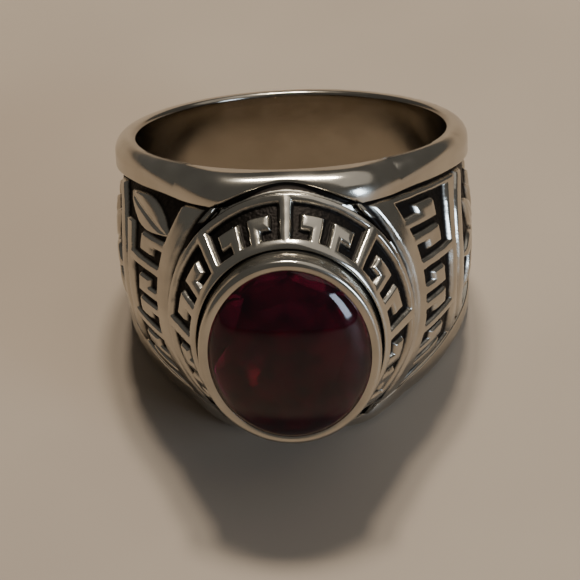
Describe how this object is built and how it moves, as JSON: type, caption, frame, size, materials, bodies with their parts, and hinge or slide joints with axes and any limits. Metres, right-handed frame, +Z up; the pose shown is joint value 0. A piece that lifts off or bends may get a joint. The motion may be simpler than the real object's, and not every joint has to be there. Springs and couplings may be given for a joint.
{
  "type": "class ring",
  "caption": "Heavy silver finger ring with wide shoulders, raised key and leaf ornament, and a domed oval red stone in a bezel.",
  "frame": {"origin": "on the surface the ring lies on, below the middle of its bounding box", "axes": "+Z up; the ring lies on its side, its stone points to -Y and a little up, the finger hole runs from below to above, tilted 14 degrees towards +Y; +X is across the ring"},
  "size_m": [0.023, 0.0298, 0.0182],
  "materials": {
    "silver": "antiqued silver: raised parts softly polished and worn, recesses blackened",
    "red_stone": "polished deep red synthetic stone"
  },
  "bodies": {
    "root": {"ring_body": "silver", "stone": "red_stone"}
  },
  "joints": []
}
